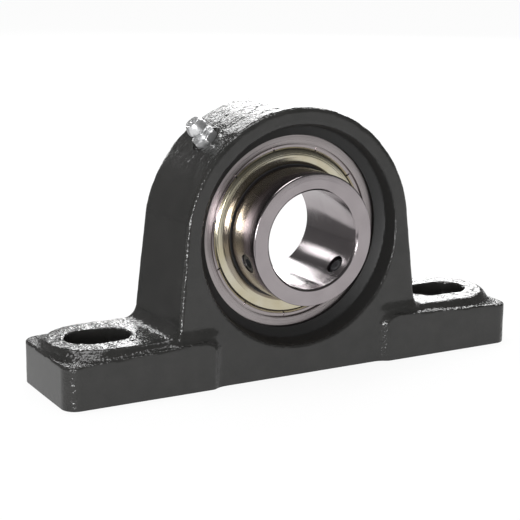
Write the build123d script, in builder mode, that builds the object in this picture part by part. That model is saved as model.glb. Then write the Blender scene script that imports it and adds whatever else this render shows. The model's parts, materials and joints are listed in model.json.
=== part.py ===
"""Pillow block with a light-series insert bearing for a 30 mm shaft.

Millimetres.  +Z is up, the shaft runs along Y and its set-screw end, the front, faces -Y.
The origin is the middle of the mounting face, straight under the centre of the bearing.
"""

import os
from math import acos, cos, degrees, radians, sin, sqrt, tan

from build123d import *

# --- Housing --------------------------------------------------------------------------
centre_height = 42.9  # mounting face to shaft axis
base_length = 155.0
base_width = 36.0  # across the pads, front to back
pad_step = 1.5  # how far each pad stands in front of the middle of the base
pad_inner = 30.5  # shaft centre plane to the inner end of a pad
pad_corner = 3.0  # rounding of a pad's inner top corner
foot_height = 12.9
foot_corner = 4.5  # rounding of the foot's outer corners, seen from above
arch_radius = 38.5
arch_top_width = 28.0  # front to back, at the crown
leg_taper = 6.0  # degrees each leg leans outwards
leg_fillet = 4.5
cast_edge = 1.6  # rounding of the arch's edges

# --- Feet -----------------------------------------------------------------------------
bolt_end_distance = 17.0  # bolt centre to the end of the foot
slot_length = 20.2
slot_width = 14.0
boss_rise = 2.7
boss_width = 29.0
boss_margin = 1.5  # outer end of a boss to the end of the foot
boss_draft = 14.0  # degrees
foot_edge = 1.0  # rounding of the foot's top edges

# --- Cored pocket in the underside ----------------------------------------------------
pocket_length = 46.0
pocket_width = 18.0
pocket_depth = 4.8
pocket_corner = 5.0
pocket_draft = 8.0  # degrees

# --- Spherical seat and the recess on each side of it ---------------------------------
insert_radius = 31.0  # spherical outside of the bearing's outer ring
seat_clearance = 0.03
seat_margin = 1.0  # how far the seat runs past each face of the outer ring
loading_clearance = 0.1  # each side of the insert where it goes in edge on
recess_clearance = 1.6  # recess floor's rim to the insert's largest radius
recess_floor_slope = 1.7  # how far that rim lies in front of the seat's edge
recess_draw = 1.0  # how much the recess wall opens from the floor to the mouth
recess_mouth_depth = 15.2  # bearing centre to where the recess wall meets the face

# --- Outer ring -----------------------------------------------------------------------
outer_half_width = 8.0
outer_edge = 0.35  # chamfer where the sphere meets the ring's faces
outer_groove_depth = 2.0  # bottom of the raceway to the ring's land
shield_ledge = 1.05  # height of the ledge that the shield's rim sits on
shield_seat_depth = 1.0
grease_groove_offset = 5.2  # bearing centre to the groove
grease_groove_width = 1.6
grease_groove_depth = 0.6
grease_hole_radius = 0.7
grease_hole_count = 2

# --- Balls and raceways ---------------------------------------------------------------
ball_radius = 4.7625  # 3/8 inch balls
ball_count = 9
race_conformity = 0.52  # groove radius over ball diameter
race_clearance = 0.03

# --- Inner ring -----------------------------------------------------------------------
bore_radius = 15.0
bore_chamfer = 0.6
inner_wall = 5.15
inner_chamfer = 0.45
inner_groove_depth = 1.84
inner_front = 22.0  # bearing centre to the set-screw end
inner_back = 8.0  # bearing centre to the plain end

# --- Set screws -----------------------------------------------------------------------
screw_end_distance = 6.0  # set screws to the front end of the inner ring
screw_first_angle = -41.5  # degrees from +X, seen from the front
screw_spacing_angle = -120.0
screw_radius = 3.0
screw_clearance = 0.05
screw_sunk = 0.4  # head below the outside of the inner ring
screw_bore_gap = 0.35  # backed off so that the shaft slides in
screw_point_chamfer = 0.7
socket_across_flats = 3.0
socket_depth = 2.0

# --- Shields and seal lips ------------------------------------------------------------
shield_thickness = 0.5
shield_rim_gap = 0.15
shield_rim_width = 0.85  # width of the flat rim
shield_gap = 0.7  # shield to the inner ring
shield_bulge = 0.6  # how far the dished part stands out past its edges
shield_outer_slope = 1.6  # width of the dish's sloping side next to the rim
shield_inner_slope = 1.0  # width of its sloping side next to the lip seat
shield_slits = 11
shield_slit_width = 0.4
shield_slit_overrun = 0.5  # how far the slits run past the rim into the dish
shield_slit_phase = 4.6  # degrees
lip_clearance = 0.04
lip_bond = 1.05  # width of the flat on the shield that the lip is bonded to
lip_thickness = 0.7
lip_recess = 0.1  # how far the lip sits back from the front of the shield

# --- Cage -----------------------------------------------------------------------------
cage_sheet = 0.8
cage_half_height = 2.0  # radial half width of the ribbon
pocket_clearance = 0.1
rivet_radius = 0.8
rivet_head_radius = 1.25
rivet_head_height = 0.6

# --- Grease nipple --------------------------------------------------------------------
nipple_angle = 130.8  # degrees from +X, seen from the front
nipple_offset = 0.75  # bearing centre to the nipple's axis, towards the front
nipple_spot_depth = 0.6  # crown of the arch to the spot face
nipple_spot_face = 5.2
nipple_thread_radius = 3.0
nipple_thread_clearance = 0.05
nipple_thread_gap = 2.7  # inner end of the thread to the bearing
nipple_hex = 7.0  # across flats
nipple_hex_height = 2.4
nipple_neck_radius = 2.3
nipple_head_radius = 3.15
nipple_head_length = 3.2  # widest part of the head to its tip
nipple_head_bulge = 0.2  # how far the head's side bulges from a straight cone
nipple_height = 7.6
nipple_tip_radius = 2.1
nipple_passage_radius = 1.1
nipple_mouth_radius = 0.6
nipple_mouth_length = 0.4
nipple_drilling_radius = 0.7  # below the spring
spring_bottom = 0.6  # spot face to the ledge that the spring stands on
grease_drill_radius = 1.5  # housing drilling from the nipple to the seat
grease_channel_depth = 0.8  # channel in the seat from the drilling to the ring's groove
check_ball_radius = 0.9
check_ball_gap = 0.02
check_seat_angle = 45.0  # half angle of the cone that the check ball closes
spring_wire_radius = 0.14
spring_turns = 4
spring_side_gap = 0.1  # spring to the wall of its passage

# --- Worked out from the sizes above --------------------------------------------------
bearing_centre = Vector(0, 0, centre_height)
shaft_axis = Axis(bearing_centre, (0, -1, 0))
# Half section of the bearing: local x runs along the shaft to the front, local y outwards.
section = Plane(origin=bearing_centre, x_dir=(0, -1, 0), z_dir=(-1, 0, 0))
# Plane of the ball centres, seen from the front: local z runs to the front.
ball_plane = Plane(origin=bearing_centre, x_dir=(1, 0, 0), z_dir=(0, -1, 0))
crown_height = centre_height + arch_radius
middle_width = base_width - 2 * pad_step
bolt_spacing = base_length - 2 * bolt_end_distance
boss_end = base_length / 2 - boss_margin
seat_radius = insert_radius + seat_clearance
seat_half_width = outer_half_width + seat_margin
recess_floor_radius = insert_radius + recess_clearance
recess_floor_depth = seat_half_width + recess_floor_slope
recess_mouth_radius = recess_floor_radius + recess_draw
nipple_spot_radius = arch_radius - nipple_spot_depth
nipple_thread_length = nipple_spot_radius - insert_radius - nipple_thread_gap
race_radius = 2 * ball_radius * race_conformity
inner_radius = bore_radius + inner_wall
inner_race_bottom = inner_radius - inner_groove_depth
pitch_radius = inner_race_bottom + race_clearance + ball_radius
outer_race_bottom = pitch_radius + ball_radius + race_clearance
outer_land_radius = outer_race_bottom - outer_groove_depth
shield_seat_radius = outer_land_radius + shield_ledge
shield_rim_inner = shield_seat_radius - shield_rim_width
shield_inner_radius = inner_radius + shield_gap
lip_outer_radius = shield_inner_radius + lip_bond
screw_plane = inner_front - screw_end_distance
screw_length = inner_wall - screw_bore_gap - screw_sunk

os.makedirs("parts", exist_ok=True)


def finish(piece, name):
    """Label a finished piece and write it."""
    piece.label = name
    export_step(piece, f"parts/{name}.step")
    print(f"{name}: {len(piece.solids())} solid(s), {piece.volume / 1000:.2f} cm3")


def on_circle(radius, across):
    """Distance out from the centre of a circle of the given radius, at an offset across it."""
    return sqrt(radius**2 - across**2)


# --- Housing --------------------------------------------------------------------------
with BuildPart() as foot:
    # Pad: the whole foot, as wide as the base, with its inner top corner rounded.
    with BuildSketch(Plane.XZ) as pad_profile:
        with Locations((pad_inner, 0)):
            Rectangle(base_length / 2 - pad_inner, foot_height, align=(Align.MIN, Align.MIN))
        inner_top = pad_profile.vertices().group_by(Axis.Y)[-1].sort_by(Axis.X)[0]
        fillet(inner_top, pad_corner)
    extrude(amount=base_width / 2, both=True)
    outer_uprights = foot.edges().filter_by(Axis.Z).group_by(Axis.X)[-1]
    fillet(outer_uprights, foot_corner)
    # All the top face's edges but the innermost, which already runs into the rounded corner.
    top_edges = foot.faces().sort_by(Axis.Z)[-1].edges().sort_by(Axis.X)[1:]
    fillet(top_edges, foot_edge)
    # Boss round the bolt slot, running in under the leg.
    boss_round_centre = boss_end - boss_width / 2
    with BuildSketch(Plane.XY.offset(foot_height)):
        with Locations((boss_round_centre, 0)):
            Circle(boss_width / 2)
            Rectangle(boss_round_centre - pad_inner, boss_width, align=(Align.MAX, Align.CENTER))
    extrude(amount=boss_rise, taper=boss_draft)
    boss_rim = foot.faces().sort_by(Axis.Z)[-1].edges()
    fillet(boss_rim, foot_edge)

with BuildPart() as housing:
    # Arch and middle of the base in one front profile.
    with BuildSketch(Plane.XZ) as front_profile:
        Rectangle(base_length - 2 * foot_corner, foot_height, align=(Align.CENTER, Align.MIN))
        with BuildLine():
            crown = CenterArc((0, centre_height), arch_radius, leg_taper, 180 - 2 * leg_taper)
            leg_drop = (crown @ 0).Y
            right_leg = PolarLine(crown @ 0, leg_drop, leg_taper - 90, length_mode=LengthMode.VERTICAL)
            left_leg = PolarLine(crown @ 1, leg_drop, -leg_taper - 90, length_mode=LengthMode.VERTICAL)
            Line(right_leg @ 1, left_leg @ 1)
        make_face()
        # Of the corners at the foot's height, the outermost two are the foot's own.
        foot_level = front_profile.vertices().group_by(Axis.Y)[1]
        fillet(foot_level.sort_by(Axis.X)[1:-1], leg_fillet)
    extrude(amount=middle_width / 2, both=True)
    # Front and back faces lean in from the base to the crown.
    with BuildSketch(Plane.YZ):
        with BuildLine():
            Polyline(
                (-middle_width / 2, 0),
                (middle_width / 2, 0),
                (arch_top_width / 2, crown_height),
                (-arch_top_width / 2, crown_height),
                close=True,
            )
        make_face()
    extrude(amount=base_length, both=True, mode=Mode.INTERSECT)
    # The highest five edges of each face are the crown, the two legs and their two roots.
    arch_edges = ShapeList()
    for face in (housing.faces().sort_by(Axis.Y)[0], housing.faces().sort_by(Axis.Y)[-1]):
        arch_edges += face.edges().sort_by(Axis.Z)[-5:]
    fillet(arch_edges, cast_edge)

    add(foot.part)
    add(foot.part.mirror(Plane.YZ))
    with BuildSketch(Plane.XY):
        with GridLocations(bolt_spacing, 0, 2, 1):
            SlotOverall(slot_length, slot_width)
    extrude(amount=foot_height + 2 * boss_rise, mode=Mode.SUBTRACT)

    # Cored pocket in the underside.
    with BuildSketch(Plane.XY):
        RectangleRounded(pocket_length, pocket_width, pocket_corner)
    extrude(amount=pocket_depth, taper=pocket_draft, mode=Mode.SUBTRACT)

    # Spherical seat, with the same recess on the front and the back.
    with BuildSketch(section):
        with BuildLine():
            seat_edge = on_circle(seat_radius, seat_half_width)
            seat_sweep = 2 * degrees(acos(seat_edge / seat_radius))
            seat_arc = CenterArc((0, 0), seat_radius, 90 - seat_sweep / 2, seat_sweep)
            outside = base_width
            wall_slope = recess_draw / (recess_mouth_depth - recess_floor_depth)
            outside_radius = recess_mouth_radius + wall_slope * (outside - recess_mouth_depth)
            Polyline(
                seat_arc @ 0,
                (recess_floor_depth, recess_floor_radius),
                (outside, outside_radius),
                (outside, 0),
                (-outside, 0),
                (-outside, outside_radius),
                (-recess_floor_depth, recess_floor_radius),
                seat_arc @ 1,
            )
        make_face()
    revolve(axis=shaft_axis, mode=Mode.SUBTRACT)

    # Loading slots in the back half of the seat: the insert goes in edge on and is turned.
    loading_width = 2 * (outer_half_width + loading_clearance)
    with BuildSketch(Plane.XZ):
        with Locations((0, centre_height)):
            Rectangle(2 * seat_radius, loading_width)
    extrude(amount=-recess_floor_depth, mode=Mode.SUBTRACT)

    # Spot face, tapped hole and grease drilling for the nipple.
    nipple_direction = Vector(cos(radians(nipple_angle)), 0, sin(radians(nipple_angle)))
    nipple_plane = Plane(
        origin=bearing_centre - Vector(0, nipple_offset, 0) + nipple_direction * nipple_spot_radius,
        x_dir=(0, -1, 0),
        z_dir=nipple_direction,
    )
    with BuildSketch(nipple_plane):
        Circle(nipple_spot_face)
    extrude(amount=arch_radius, mode=Mode.SUBTRACT)
    with BuildSketch(nipple_plane):
        Circle(nipple_thread_radius)
    extrude(amount=-nipple_thread_length, mode=Mode.SUBTRACT)
    with BuildSketch(nipple_plane):
        Circle(grease_drill_radius)
    extrude(amount=-(nipple_spot_radius - insert_radius + grease_drill_radius), mode=Mode.SUBTRACT)
    # Channel in the seat that takes the grease back to the ring's groove.
    channel_floor = seat_radius + grease_channel_depth
    channel_run = grease_groove_offset + nipple_offset
    with BuildSketch(nipple_plane.offset(channel_floor - nipple_spot_radius)):
        with Locations((-channel_run / 2, 0)):
            SlotCenterToCenter(channel_run, 2 * grease_drill_radius)
    extrude(amount=-channel_floor / 2, mode=Mode.SUBTRACT)
finish(housing.part, "housing")

# --- Outer ring -----------------------------------------------------------------------
outer_face_radius = on_circle(insert_radius, outer_half_width)
shield_seat = outer_half_width - shield_seat_depth
outer_race_centre = outer_race_bottom - race_radius
outer_race_edge = on_circle(race_radius, outer_land_radius - outer_race_centre)
with BuildPart() as outer_ring:
    with BuildSketch(section):
        with BuildLine():
            outside_sweep = 2 * degrees(acos(outer_face_radius / insert_radius))
            CenterArc((0, 0), insert_radius, 90 - outside_sweep / 2, outside_sweep)
            for side in (1, -1):
                Polyline(
                    (side * outer_half_width, outer_face_radius),
                    (side * outer_half_width, shield_seat_radius),
                    (side * shield_seat, shield_seat_radius),
                    (side * shield_seat, outer_land_radius),
                    (side * outer_race_edge, outer_land_radius),
                )
            race_angle = degrees(acos((outer_land_radius - outer_race_centre) / race_radius))
            CenterArc((0, outer_race_centre), race_radius, 90 - race_angle, 2 * race_angle)
        make_face()
    revolve(axis=shaft_axis)
    ring_front = outer_ring.faces().sort_by(Axis.Y)[0]
    ring_back = outer_ring.faces().sort_by(Axis.Y)[-1]
    chamfer(ring_front.outer_wire().edges() + ring_back.outer_wire().edges(), outer_edge)
    # Grease groove round the outside and the holes through it, behind the balls.
    with BuildSketch(section):
        with Locations((-grease_groove_offset, on_circle(insert_radius, grease_groove_offset))):
            Rectangle(grease_groove_width, 2 * grease_groove_depth)
    revolve(axis=shaft_axis, mode=Mode.SUBTRACT)
    with Locations(ball_plane.offset(-grease_groove_offset)):
        with PolarLocations(0, grease_hole_count, start_angle=nipple_angle):
            Cylinder(
                grease_hole_radius,
                insert_radius,
                rotation=(0, 90, 0),
                align=(Align.CENTER, Align.CENTER, Align.MIN),
                mode=Mode.SUBTRACT,
            )
finish(outer_ring.part, "outer_ring")

# --- Inner ring -----------------------------------------------------------------------
inner_race_centre = inner_race_bottom + race_radius
inner_race_edge = on_circle(race_radius, inner_race_centre - inner_radius)


def screw_plane_at(radius, angle):
    """Plane on a set screw's axis at a distance from the shaft axis, facing outwards."""
    outwards = Vector(cos(radians(angle)), 0, sin(radians(angle)))
    origin = bearing_centre + Vector(0, -screw_plane, 0) + outwards * radius
    return Plane(origin=origin, x_dir=(0, -1, 0), z_dir=outwards)


screw_angles = [screw_first_angle + turn * screw_spacing_angle for turn in range(2)]
with BuildPart() as inner_ring:
    with BuildSketch(section):
        with BuildLine():
            race_angle = degrees(acos((inner_race_centre - inner_radius) / race_radius))
            race = CenterArc((0, inner_race_centre), race_radius, 270 - race_angle, 2 * race_angle)
            Polyline(
                race @ 1,
                (inner_front - inner_chamfer, inner_radius),
                (inner_front, inner_radius - inner_chamfer),
                (inner_front, bore_radius + bore_chamfer),
                (inner_front - bore_chamfer, bore_radius),
                (bore_chamfer - inner_back, bore_radius),
                (-inner_back, bore_radius + bore_chamfer),
                (-inner_back, inner_radius - inner_chamfer),
                (inner_chamfer - inner_back, inner_radius),
                race @ 0,
            )
        make_face()
    revolve(axis=shaft_axis)
    for angle in screw_angles:
        with BuildSketch(screw_plane_at(0, angle)):
            Circle(screw_radius)
        extrude(amount=inner_radius + screw_radius, mode=Mode.SUBTRACT)
finish(inner_ring.part, "inner_ring")

# --- Set screws -----------------------------------------------------------------------
for number, angle in enumerate(screw_angles, start=1):
    screw_point = screw_plane_at(bore_radius + screw_bore_gap, angle)
    with BuildPart() as set_screw:
        with BuildSketch(screw_point):
            Circle(screw_radius - screw_clearance)
        extrude(amount=screw_length)
        point_end = set_screw.faces().sort_by(Axis(screw_point.origin, screw_point.z_dir))[0]
        chamfer(point_end.edges(), screw_point_chamfer)
        with BuildSketch(screw_point.offset(screw_length)):
            RegularPolygon(socket_across_flats / 2, 6, major_radius=False)
        extrude(amount=-socket_depth, mode=Mode.SUBTRACT)
    finish(set_screw.part, f"set_screw_{number}")

# --- Balls ----------------------------------------------------------------------------
for number in range(1, ball_count + 1):
    with BuildPart() as ball:
        with Locations(ball_plane):
            with PolarLocations(pitch_radius, 1, start_angle=number * 360 / ball_count):
                Sphere(ball_radius)
    finish(ball.part, f"ball_{number}")

# --- Cage: two pressed ribbons riveted between the balls ------------------------------
pocket_radius = ball_radius + pocket_clearance
cup_radius = pocket_radius + cage_sheet
rivet_start = 180 / ball_count
with BuildPart() as cage_front:
    with BuildSketch(ball_plane) as ribbon:
        Circle(pitch_radius + cage_half_height)
        Circle(pitch_radius - cage_half_height, mode=Mode.SUBTRACT)
    extrude(amount=cage_sheet)
    with Locations(ball_plane):
        with PolarLocations(pitch_radius, ball_count):
            Sphere(cup_radius)
    extrude(ribbon.sketch, amount=cup_radius + cage_sheet, mode=Mode.INTERSECT)
    with Locations(ball_plane):
        with PolarLocations(pitch_radius, ball_count):
            Sphere(pocket_radius, mode=Mode.SUBTRACT)
        with PolarLocations(pitch_radius, ball_count, start_angle=rivet_start):
            Cylinder(rivet_radius, 4 * cage_sheet, mode=Mode.SUBTRACT)
finish(cage_front.part, "cage_front")
with BuildPart() as cage_back:
    add(cage_front.part.mirror(ball_plane))
finish(cage_back.part, "cage_back")

with BuildPart() as cage_rivets:
    with BuildSketch(ball_plane):
        with PolarLocations(pitch_radius, ball_count, start_angle=rivet_start):
            Circle(rivet_radius)
    extrude(amount=cage_sheet, both=True)
    for side in (1, -1):
        with BuildSketch(ball_plane.offset(side * cage_sheet)):
            with PolarLocations(pitch_radius, ball_count, start_angle=rivet_start):
                Circle(rivet_head_radius)
        extrude(amount=side * rivet_head_height)
finish(cage_rivets.part, "cage_rivets")

# --- Shields and the rubber lips bonded inside them -----------------------------------
# The shield is one pressed sheet: a flat rim slit from its edge into the dish, the dish, and
# inside that a flat seat for the lip.
rim_level = shield_seat + shield_thickness / 2
with BuildPart() as front_shield:
    with BuildSketch(section):
        with BuildLine() as sheet:
            Polyline(
                (rim_level, shield_seat_radius - shield_rim_gap),
                (rim_level, shield_rim_inner),
                (rim_level + shield_bulge, shield_rim_inner - shield_outer_slope),
                (rim_level + shield_bulge, lip_outer_radius + shield_inner_slope),
                (rim_level, lip_outer_radius),
                (rim_level, shield_inner_radius),
            )
        trace(sheet.line, shield_thickness)
    revolve(axis=shaft_axis)
    slit_length = shield_rim_width + shield_slit_overrun
    slit_middle = shield_seat_radius - slit_length / 2
    with BuildSketch(ball_plane.offset(rim_level)):
        with PolarLocations(slit_middle, shield_slits, start_angle=shield_slit_phase):
            Rectangle(slit_length, shield_slit_width)
    extrude(amount=shield_thickness + shield_bulge, both=True, mode=Mode.SUBTRACT)
finish(front_shield.part, "front_shield")

with BuildPart() as front_seal_lip:
    lip_radius = inner_radius + lip_clearance
    lip_front = shield_seat + shield_thickness - lip_recess
    with BuildSketch(section):
        with BuildLine():
            Polyline(
                (shield_seat, lip_outer_radius),
                (shield_seat, shield_inner_radius),
                (lip_front, shield_inner_radius),
                (lip_front, lip_radius),
                (shield_seat - lip_thickness, lip_radius),
                (shield_seat - lip_thickness, lip_outer_radius),
                close=True,
            )
        make_face()
    revolve(axis=shaft_axis)
finish(front_seal_lip.part, "front_seal_lip")

with BuildPart() as back_shield:
    add(front_shield.part.mirror(ball_plane))
finish(back_shield.part, "back_shield")
with BuildPart() as back_seal_lip:
    add(front_seal_lip.part.mirror(ball_plane))
finish(back_seal_lip.part, "back_seal_lip")

# --- Grease nipple, its check ball and spring -----------------------------------------
nipple_axis = Axis(nipple_plane.origin, nipple_plane.z_dir)
# Half section of the nipple: local x runs away from the spot face along its axis.
nipple_section = Plane(origin=nipple_plane.origin, x_dir=nipple_plane.z_dir, z_dir=(0, -1, 0))
head_widest = nipple_height - nipple_head_length
neck_end = head_widest - (nipple_head_radius - nipple_neck_radius)
# The mouth opens into a cone, and the passage for the check ball and its spring starts below it.
cone_length = (nipple_passage_radius - nipple_mouth_radius) / tan(radians(check_seat_angle))
cone_end = nipple_height - nipple_mouth_length - cone_length
with BuildPart() as grease_nipple:
    with BuildSketch(nipple_plane):
        RegularPolygon(nipple_hex / 2, 6, major_radius=False)
    extrude(amount=nipple_hex_height)
    with BuildSketch(nipple_section):
        with BuildLine():
            thread_radius = nipple_thread_radius - nipple_thread_clearance
            head = SagittaArc(
                (head_widest, nipple_head_radius),
                (nipple_height, nipple_tip_radius),
                nipple_head_bulge,
            )
            Polyline(
                head @ 1,
                (nipple_height, 0),
                (-nipple_thread_length, 0),
                (-nipple_thread_length, thread_radius),
                (nipple_hex_height, thread_radius),
                (nipple_hex_height, nipple_neck_radius),
                (neck_end, nipple_neck_radius),
                head @ 0,
            )
        make_face()
    revolve(axis=nipple_axis)
    with BuildSketch(nipple_section):
        with BuildLine():
            Polyline(
                (nipple_height, 0),
                (nipple_height, nipple_mouth_radius),
                (nipple_height - nipple_mouth_length, nipple_mouth_radius),
                (cone_end, nipple_passage_radius),
                (spring_bottom, nipple_passage_radius),
                (spring_bottom, nipple_drilling_radius),
                (-nipple_thread_length, nipple_drilling_radius),
                (-nipple_thread_length, 0),
                close=True,
            )
        make_face()
    revolve(axis=nipple_axis, mode=Mode.SUBTRACT)
finish(grease_nipple.part, "grease_nipple")

# The check ball rests just short of the cone, on top of the spring.
cone_apex = cone_end + nipple_passage_radius / tan(radians(check_seat_angle))
check_ball_centre = cone_apex - (check_ball_radius + check_ball_gap) / sin(radians(check_seat_angle))
with BuildPart() as nipple_check_ball:
    with Locations(nipple_plane.offset(check_ball_centre)):
        Sphere(check_ball_radius)
finish(nipple_check_ball.part, "nipple_check_ball")

with BuildPart() as nipple_spring:
    coil_radius = nipple_passage_radius - spring_side_gap - spring_wire_radius
    coil_start = spring_bottom + spring_wire_radius
    ball_to_coil = on_circle(check_ball_radius + spring_wire_radius + check_ball_gap, coil_radius)
    coil_height = check_ball_centre - ball_to_coil - coil_start
    with BuildLine() as coil:
        Helix(
            pitch=coil_height / spring_turns,
            height=coil_height,
            radius=coil_radius,
            center=nipple_plane.offset(coil_start).origin,
            direction=nipple_plane.z_dir,
        )
    with BuildSketch(Plane(origin=coil.line @ 0, z_dir=coil.line % 0)):
        Circle(spring_wire_radius)
    sweep()
finish(nipple_spring.part, "nipple_spring")
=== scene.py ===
# %% [markdown]
# # A pillow block bearing, dressed in Blender
#
# A pillow block holds a rotating shaft above a machine bed.  A cast-iron housing is bolted down through
# two slotted feet, and a self-aligning ball bearing sits in its spherical seat.  The construction already
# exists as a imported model: every piece at its real size, on the body that it moves with.  This lesson
# loads it as a fixed frame and gives each piece the surface and finish that the eye expects.
#
# Two kinds of shape are needed.  Everything that a lathe turns is a profile carried round an axis.  The
# casting is different: its skin flows over fillets in every direction, so it is worked out as a field in
# space and meshed from that.

# %% Load the frame
import json

import bpy
import numpy as np
from mathutils import Matrix, Vector


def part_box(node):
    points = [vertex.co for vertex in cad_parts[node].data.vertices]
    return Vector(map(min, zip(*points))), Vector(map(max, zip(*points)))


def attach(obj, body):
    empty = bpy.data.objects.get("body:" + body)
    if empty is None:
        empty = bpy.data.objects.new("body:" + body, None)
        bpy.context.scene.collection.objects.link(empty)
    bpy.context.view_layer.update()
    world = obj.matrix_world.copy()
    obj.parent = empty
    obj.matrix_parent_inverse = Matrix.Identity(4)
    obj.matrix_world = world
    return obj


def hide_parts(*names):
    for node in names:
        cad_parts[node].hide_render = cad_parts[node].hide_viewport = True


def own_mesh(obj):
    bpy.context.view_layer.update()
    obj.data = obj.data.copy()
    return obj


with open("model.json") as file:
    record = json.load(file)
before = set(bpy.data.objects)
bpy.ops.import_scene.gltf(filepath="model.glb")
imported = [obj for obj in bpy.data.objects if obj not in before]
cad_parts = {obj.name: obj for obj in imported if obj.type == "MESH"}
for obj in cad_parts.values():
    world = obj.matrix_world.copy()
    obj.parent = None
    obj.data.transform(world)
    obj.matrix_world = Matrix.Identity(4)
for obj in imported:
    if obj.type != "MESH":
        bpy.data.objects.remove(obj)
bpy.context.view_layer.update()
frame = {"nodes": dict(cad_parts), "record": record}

# %% [markdown]
# ## Sizes
#
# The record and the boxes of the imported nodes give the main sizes, so the looks follow the construction.
# Shapes are worked out in millimetres, measured from the centre of the bearing or from the bed, and turned
# into metres when they become meshes.

# %% Sizes taken from the frame
mm = 0.001
mounts = {mount["name"]: mount for mount in frame["record"]["mounts"]}
shaft = mounts["shaft_bore"]
feet = mounts["foot_bolts"]


def node_size(node):
    """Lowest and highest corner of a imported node, in millimetres."""
    low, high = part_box(node)
    return np.array(low) / mm, np.array(high) / mm


housing_low, housing_high = node_size("housing")
inner_low, inner_high = node_size("inner_ring")
_, outer_high = node_size("outer_ring")
centre_height = shaft["pos_m"][2] / mm
bore_radius = shaft["dims"]["r_mm"]
base_length = housing_high[0] - housing_low[0]
base_width = housing_high[1] - housing_low[1]
crown_height = housing_high[2]
arch_radius = crown_height - centre_height
insert_radius = outer_high[0]
outer_half_width = outer_high[1]
inner_front = -inner_low[1]
inner_back = inner_high[1]
inner_radius = inner_high[0]
bolt_spacing = feet["dims"]["spacing_x_mm"]
slot_width = 2 * feet["dims"]["hole_r_mm"]
slot_length = feet["dims"]["slot_length_mm"]
print(f"base {base_length:.1f} x {base_width:.1f} mm, shaft centre {centre_height:.1f} mm above the bed")
print(f"insert {2 * bore_radius:.0f} x {2 * insert_radius:.0f} x {inner_front + inner_back:.0f} mm")

# %% [markdown]
# ## Camera
#
# The block is seen from its left front, a little above the shaft, through a long lens.  The camera's three
# axes are written out from azimuth, elevation and roll, and the distance gives the perspective.

# %% Camera
view_azimuth = np.radians(-29.0)
view_elevation = np.radians(13.7)
view_roll = np.radians(0.52)
view_distance = 468.5 * mm
view_target = np.array([-6.0, 0.0, centre_height - 10.1]) * mm
lens_mm = 105.2


def camera_axes(azimuth, elevation, roll):
    """Right, up and backward directions: spherical angles for backward, then a turn about it."""
    backward = np.array(
        [np.sin(azimuth) * np.cos(elevation), -np.cos(azimuth) * np.cos(elevation), np.sin(elevation)]
    )
    level = np.array([np.cos(azimuth), np.sin(azimuth), 0.0])
    upright = np.cross(backward, level)
    right = np.cos(roll) * level + np.sin(roll) * upright
    up = np.cos(roll) * upright - np.sin(roll) * level
    return right, up, backward


right, up, backward = camera_axes(view_azimuth, view_elevation, view_roll)
camera = bpy.data.objects.new("camera", bpy.data.cameras.new("camera"))
camera.data.sensor_width = 36
camera.data.lens = lens_mm
camera.matrix_world = Matrix.Translation(view_target + backward * view_distance) @ Matrix(
    np.column_stack([right, up, backward]).tolist()
).to_4x4()
bpy.context.scene.collection.objects.link(camera)
bpy.context.scene.camera = camera
print("camera stands", round(view_distance / mm), "mm from the block")

# %% [markdown]
# ## Shader sums in Python
#
# A finish is easier to read as a formula than as a plate of wires.  `Wire` holds one output of a node.
# Python's operators on it add Math nodes, and its `node` method adds any other node: first the node's own
# settings, then the values or wires of its sockets.

# %% The wire class
class Wire:
    """One output socket of a shader node, usable in Python sums."""

    def __init__(self, tree, socket):
        self.tree = tree
        self.socket = socket

    def node(self, kind, inputs=None, output=0, **settings):
        """Add a node of a kind and return the wire of one of its outputs."""
        made = self.tree.nodes.new(kind)
        for name, value in settings.items():
            setattr(made, name, value)
        for name, value in (inputs or {}).items():
            if isinstance(value, Wire):
                self.tree.links.new(value.socket, made.inputs[name])
            else:
                made.inputs[name].default_value = value
        return Wire(self.tree, made.outputs[output])

    def math(self, operation, *values):
        """Math node on any mixture of wires and numbers."""
        return self.node("ShaderNodeMath", dict(enumerate(values)), operation=operation)

    def __add__(self, other):
        return self.math("ADD", self, other)

    def __sub__(self, other):
        return self.math("SUBTRACT", self, other)

    def __rsub__(self, other):
        return self.math("SUBTRACT", other, self)

    def __mul__(self, other):
        return self.math("MULTIPLY", self, other)

    def __truediv__(self, other):
        return self.math("DIVIDE", self, other)

    def __pow__(self, other):
        return self.math("POWER", self, other)

    __radd__ = __add__
    __rmul__ = __mul__

    def clip(self, low, high):
        """0 at low, 1 at high, straight in between."""
        return self.node("ShaderNodeMapRange", {"Value": self, "From Min": low, "From Max": high})

    def blend(self, dark, light):
        """Colour that goes from dark, where the wire is 0, to light, where it is 1."""
        ends = (colour if isinstance(colour, Wire) else (*colour, 1.0) for colour in (dark, light))
        colours = dict(zip(("A", "B"), ends))
        return self.node("ShaderNodeMix", {"Factor": self, **colours}, output="Result", data_type="RGBA")

    def parts(self, axes):
        """One wire for each named axis of a place or direction."""
        return (self.node("ShaderNodeSeparateXYZ", {0: self}, output=axis) for axis in axes)


print("wires can be joined by + - * / ** and by math, clip, blend, parts and node")

# %% [markdown]
# ## Studio
#
# The block stands on white, in front of white, as in a catalogue.  What metal shows is mostly its
# surroundings, so they are planned as a room: white behind the block, near the horizon, and dimmer above
# it and on the side where the camera stands.  The world gives that by direction, and by the kind of ray:
# the camera sees white all round, polished metal sees the white behind the block and the dim side in
# front, and matt surfaces collect an even light.

# %% World
front_light = 0.45
front_shine = 0.08
backdrop_start, backdrop_full = -0.1, 0.3
horizon_start, horizon_end = 0.02, 0.15
room_start, room_full = -0.55, 0.25
world = bpy.data.worlds.new("studio")
bpy.context.scene.world = world
world.use_nodes = True
background = world.node_tree.nodes["Background"]
sky = Wire(world.node_tree, background.outputs[0])


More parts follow.
